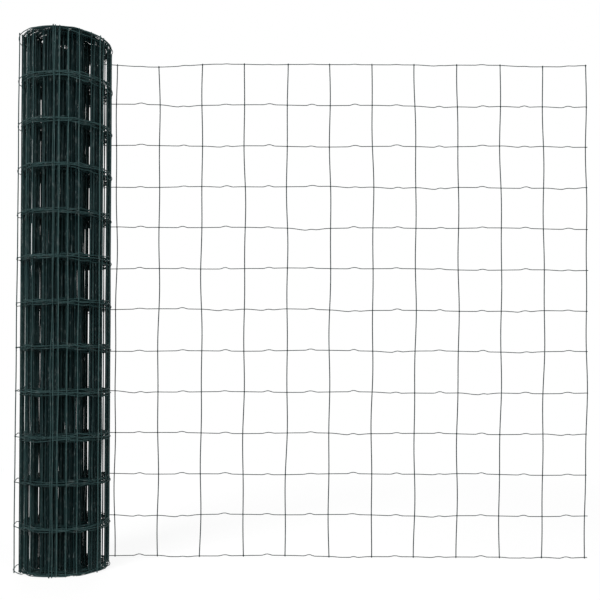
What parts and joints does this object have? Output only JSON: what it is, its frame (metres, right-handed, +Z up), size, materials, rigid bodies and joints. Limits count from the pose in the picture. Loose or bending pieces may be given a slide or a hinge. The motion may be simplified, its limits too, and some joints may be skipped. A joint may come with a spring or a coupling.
{
  "type": "roll of wire fencing",
  "caption": "Green plastic-coated welded wire fencing with crimped line wires, standing on end as a tight roll with a flat leaf of square cells unrolled to one side",
  "frame": {"origin": "on the roll's axis, at the foot of the roll", "axes": "+Z up along the roll's axis, +X along the unrolled leaf away from the roll, +Y towards the back, where the leaf leaves the roll"},
  "size_m": [1.3438, 0.2068, 1.2068],
  "materials": {
    "green_coating": "dark green plastic coating on steel wire, satin with a soft shine"
  },
  "bodies": {
    "root": {"rolled_fencing": "green_coating", "unrolled_leaf": "green_coating"}
  },
  "joints": []
}
